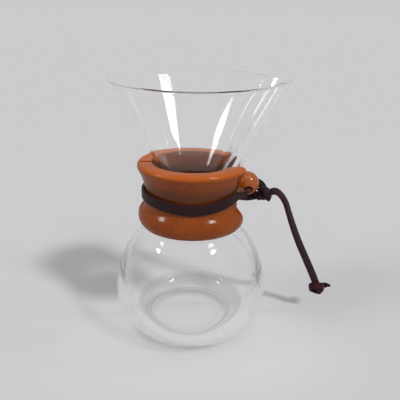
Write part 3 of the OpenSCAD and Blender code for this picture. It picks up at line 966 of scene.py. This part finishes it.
# stage: a pale matt paper floor, two soft boxes that show in the glass, and soft light from both sides
stageLook = {
    "floor": "#CCCBCD", "floorSize": 20.0, "floorDrop": 0.2,  # radius in metres, and mm below the base
    "fibre": 40, "roughness": (0.7, 0.8), "specular": 0.2,  # mm across a patch of fibres
    "sky": "#CBCACC",
    "ambient": (0.09, 0.64),  # at the horizon and overhead
}
softBoxes = {
    # place, what it is aimed at, width and height in mm, half the angle its grid lets through, brightness
    "right_box": ((333, -250, 562), (-14, 36, 164), 160, 140, 9.5, 70),
    "left_box": ((-482, -59, 473), (22, 25, 154), 160, 100, 9.0, 70),
}
suns = {
    # azimuth from +X, elevation, strength, softness in degrees
    "right_key": (-49, 41, 1.9, 8),
    "left_fill": (-161, 31.5, 0.9, 20),
}
spots = {
    # place, what it is aimed at, power, cone in degrees, share of the cone that fades out, size in mm
    "pool_lamp": ((520, -55, 420), (0, -35, 0), 3.6, 16, 1.0, 30),  # a brighter pool on the floor
}


def sunPlace(azimuth, elevation):
    flat, rise = polar(1, elevation)
    return Vector((*(flat * polar(1, azimuth)), rise))


def makeStage():
    deselectAll()
    bpy.ops.mesh.primitive_circle_add(vertices=64, radius=stageLook["floorSize"], fill_type="NGON",
                                      location=(0, 0, -stageLook["floorDrop"] * mm))
    floor = namePiece("pale_floor")
    material, tree, shader = newMaterial("matt_pale_paper")
    place = addNode(tree, "ShaderNodeTexCoord").outputs["Object"]
    fibres = addNode(tree, "ShaderNodeTexNoise", {"Scale": 1 / (stageLook["fibre"] * mm), "Detail": 3.0},
                     {"Vector": place})
    shine = addNode(tree, "ShaderNodeMapRange",
                    {"To Min": stageLook["roughness"][0], "To Max": stageLook["roughness"][1]},
                    {"Value": fibres.outputs["Fac"]})
    tree.links.new(shine.outputs["Result"], shader.inputs["Roughness"])
    setSockets(shader, {"Base Color": toLinear(stageLook["floor"]),
                        "Specular IOR Level": stageLook["specular"]})
    floor.data.materials.append(material)


def hangLamp(name, kind, place, target):
    data = bpy.data.lights.new(name, kind)
    lamp = bpy.data.objects.new(name, data)
    bpy.context.scene.collection.objects.link(lamp)
    lamp.location = Vector(place) * mm
    lamp.rotation_euler = (Vector(place) - Vector(target)).to_track_quat("Z", "Y").to_euler()
    return lamp, data


def hideFromGlass(lamp):
    lamp.visible_glossy = False
    lamp.visible_transmission = False


def makeLights():
    # the soft boxes only show in what shines, and the suns and the spot only light the surfaces
    for name, (place, target, width, height, grid, brightness) in softBoxes.items():
        lamp, data = hangLamp(name, "AREA", place, target)
        data.shape = "RECTANGLE"
        data.size, data.size_y = width * mm, height * mm
        data.spread = math.radians(2 * grid)
        straight = math.tan(data.spread / 2)
        peak = straight / (straight - data.spread / 2)  # a grid makes the middle brighter
        data.energy = brightness / peak * data.size * data.size_y * math.pi
        lamp.visible_diffuse = False
        lamp.visible_camera = False
    for name, (azimuth, elevation, strength, softness) in suns.items():
        lamp, data = hangLamp(name, "SUN", sunPlace(azimuth, elevation), (0, 0, 0))
        data.energy = strength
        data.angle = math.radians(softness)
        hideFromGlass(lamp)
    for name, (place, target, power, cone, fade, size) in spots.items():
        lamp, data = hangLamp(name, "SPOT", place, target)
        data.energy = power
        data.spot_size = math.radians(cone)
        data.spot_blend = fade
        data.shadow_soft_size = size * mm
        hideFromGlass(lamp)


def makeWorld():
    world = bpy.data.worlds.new("studio")
    world.use_nodes = True
    bpy.context.scene.world = world
    tree = world.node_tree
    light = tree.nodes["Background"]
    direction = addNode(tree, "ShaderNodeSeparateXYZ", None,
                        {"Vector": addNode(tree, "ShaderNodeTexCoord").outputs["Generated"]})
    overhead = addNode(tree, "ShaderNodeMapRange",
                       {"To Min": stageLook["ambient"][0], "To Max": stageLook["ambient"][1]},
                       {"Value": direction.outputs["Z"]})
    setSockets(light, {"Color": toLinear("#FFFFFF")})
    tree.links.new(overhead.outputs["Result"], light.inputs["Strength"])
    rays = addNode(tree, "ShaderNodeLightPath")
    seen = addNode(tree, "ShaderNodeBackground", {"Color": toLinear(stageLook["sky"]), "Strength": 1.0})
    direct = addNode(tree, "ShaderNodeMath", {"operation": "ADD", "use_clamp": True},
                     {0: rays.outputs["Is Camera Ray"], 1: rays.outputs["Is Glossy Ray"]})
    anyRay = addNode(tree, "ShaderNodeMath", {"operation": "ADD", "use_clamp": True},
                     {0: direct.outputs["Value"], 1: rays.outputs["Is Transmission Ray"]})
    both = addNode(tree, "ShaderNodeMixShader", None,
                   {0: anyRay.outputs["Value"], 1: light.outputs[0], 2: seen.outputs[0]})
    tree.links.new(both.outputs[0], tree.nodes["World Output"].inputs["Surface"])


makeStage()
makeLights()
makeWorld()
bpy.context.scene.view_settings.view_transform = "Standard"
bpy.context.scene.cycles.glossy_bounces = 12
bpy.context.scene.cycles.max_bounces = 16
bpy.context.scene.cycles.transparent_max_bounces = 32
print("stage lit")
